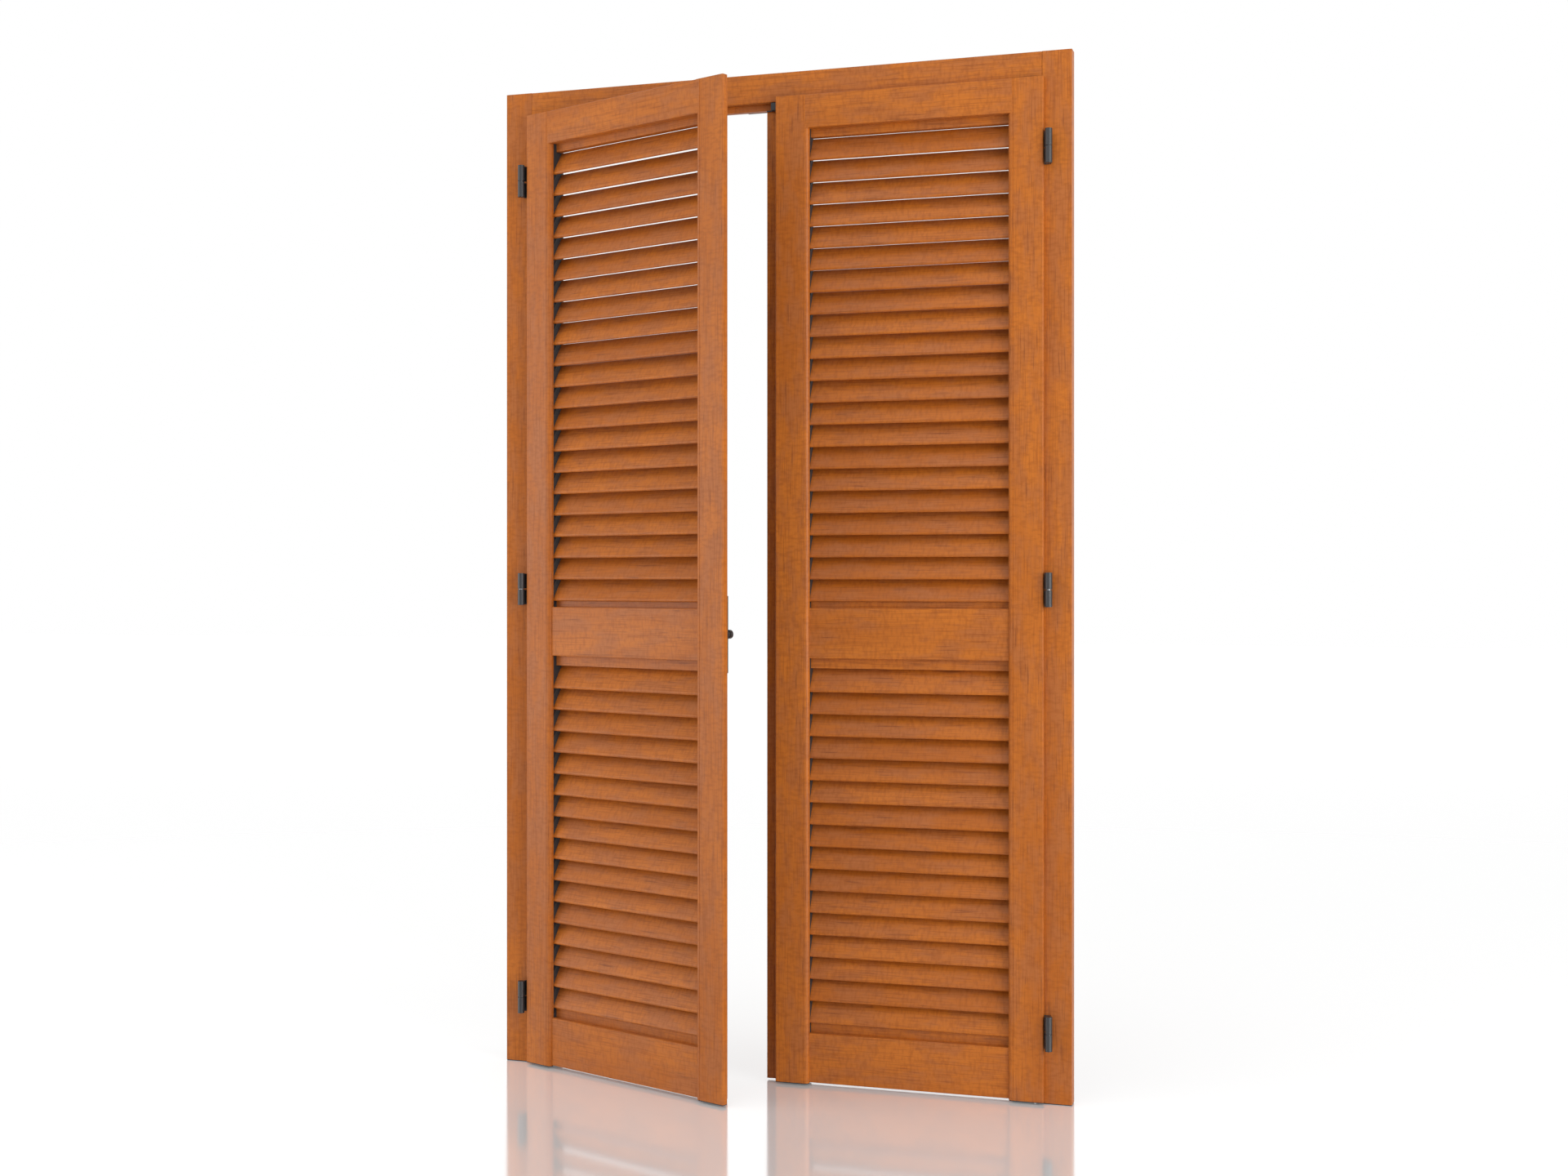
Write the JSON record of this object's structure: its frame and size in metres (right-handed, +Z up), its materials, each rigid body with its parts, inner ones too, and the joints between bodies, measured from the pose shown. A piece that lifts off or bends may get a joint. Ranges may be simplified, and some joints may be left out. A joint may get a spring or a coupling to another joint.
{
  "type": "louvred shutters",
  "caption": "Louvred shutters for a French window: fixed slats in hinged leaves, in a wood-effect aluminium frame, with a lever lock and sliding bolts.",
  "frame": {"origin": "bottom centre of the frame, on the face of the wall that it is fixed to", "axes": "+X to the right seen from outside, +Y into the wall, +Z up; the leaves open towards -Y"},
  "size_m": [1.35, 0.2996, 2.3],
  "materials": {
    "wood_coat": "satin wood-effect coating, grain along each profile",
    "black_plastic": "matt black",
    "seal": "matt black",
    "black_paint": "satin black paint",
    "steel": "ground",
    "cast_block": "as cast"
  },
  "bodies": {
    "frame": {"frame_jamb_left": "wood_coat", "frame_jamb_right": "wood_coat", "frame_head": "wood_coat", "frame_head_connectors": "cast_block", "frame_caps": "black_plastic", "head_keepers": "black_paint", "hinge_frame_halves_left": "black_paint", "hinge_frame_halves_right": "black_paint", "hinge_pins_left": "steel", "hinge_pins_right": "steel"},
    "left_leaf": {"left_hinge_stile": "wood_coat", "left_meeting_stile": "wood_coat", "left_top_rail": "wood_coat", "left_mid_rail": "wood_coat", "left_bottom_rail": "wood_coat", "left_rail_connectors": "cast_block", "left_stile_caps": "black_plastic", "left_upper_slats": "wood_coat", "left_lower_slats": "wood_coat", "left_upper_carriers": "black_plastic", "left_lower_carriers": "black_plastic", "left_upper_strips": "wood_coat", "left_lower_strips": "wood_coat", "left_gaskets": "seal", "left_hinge_halves": "black_paint", "left_meeting_gasket": "seal", "left_lock_housing": "black_paint", "left_rod_guides": "black_plastic"},
    "right_leaf": {"right_hinge_stile": "wood_coat", "right_meeting_stile": "wood_coat", "right_top_rail": "wood_coat", "right_mid_rail": "wood_coat", "right_bottom_rail": "wood_coat", "right_rail_connectors": "cast_block", "right_stile_caps": "black_plastic", "right_upper_slats": "wood_coat", "right_lower_slats": "wood_coat", "right_upper_carriers": "black_plastic", "right_lower_carriers": "black_plastic", "right_upper_strips": "wood_coat", "right_lower_strips": "wood_coat", "right_gaskets": "seal", "right_hinge_halves": "black_paint", "right_rebate": "wood_coat", "right_rebate_cap": "black_plastic", "right_bolt_plates": "black_paint"},
    "left_handle": {"left_lock_handle": "black_paint"},
    "left_rod_top": {"left_lock_rod_top": "black_paint"},
    "left_rod_bottom": {"left_lock_rod_bottom": "black_paint"},
    "right_bolt_top": {"right_bolt_top": "black_paint"},
    "right_bolt_bottom": {"right_bolt_bottom": "black_paint"}
  },
  "joints": [
    {"name": "left_leaf_swing", "type": "hinge", "parent": "frame", "child": "left_leaf", "pos_m": [-0.6275, -0.05, 1.123], "axis": [0, 0, -1], "range_deg": [-21.4, 158.6]},
    {"name": "right_leaf_swing", "type": "hinge", "parent": "frame", "child": "right_leaf", "pos_m": [0.6275, -0.05, 1.123], "axis": [0, 0, 1], "range_deg": [0, 180]},
    {"name": "left_handle_turn", "type": "hinge", "parent": "left_leaf", "child": "left_handle", "pos_m": [-0.07049, -0.19633, 1.02413], "axis": [-0.3649, -0.9311, 0], "range_deg": [0, 90]},
    {"name": "left_rod_top_slide", "type": "slide", "parent": "left_leaf", "child": "left_rod_top", "axis": [0, 0, 1], "range_m": [0, 0.018]},
    {"name": "left_rod_bottom_slide", "type": "slide", "parent": "left_leaf", "child": "left_rod_bottom", "axis": [0, 0, -1], "range_m": [0, 0.018]},
    {"name": "right_bolt_top_slide", "type": "slide", "parent": "right_leaf", "child": "right_bolt_top", "axis": [0, 0, 1], "range_m": [0, 0.018]},
    {"name": "right_bolt_bottom_slide", "type": "slide", "parent": "right_leaf", "child": "right_bolt_bottom", "axis": [0, 0, -1], "range_m": [0, 0.018]}
  ],
  "couplings": [
    {"joint": "left_rod_top_slide", "follows": "left_handle_turn", "m_per_rad": 0.01145},
    {"joint": "left_rod_bottom_slide", "follows": "left_handle_turn", "m_per_rad": 0.01145}
  ]
}
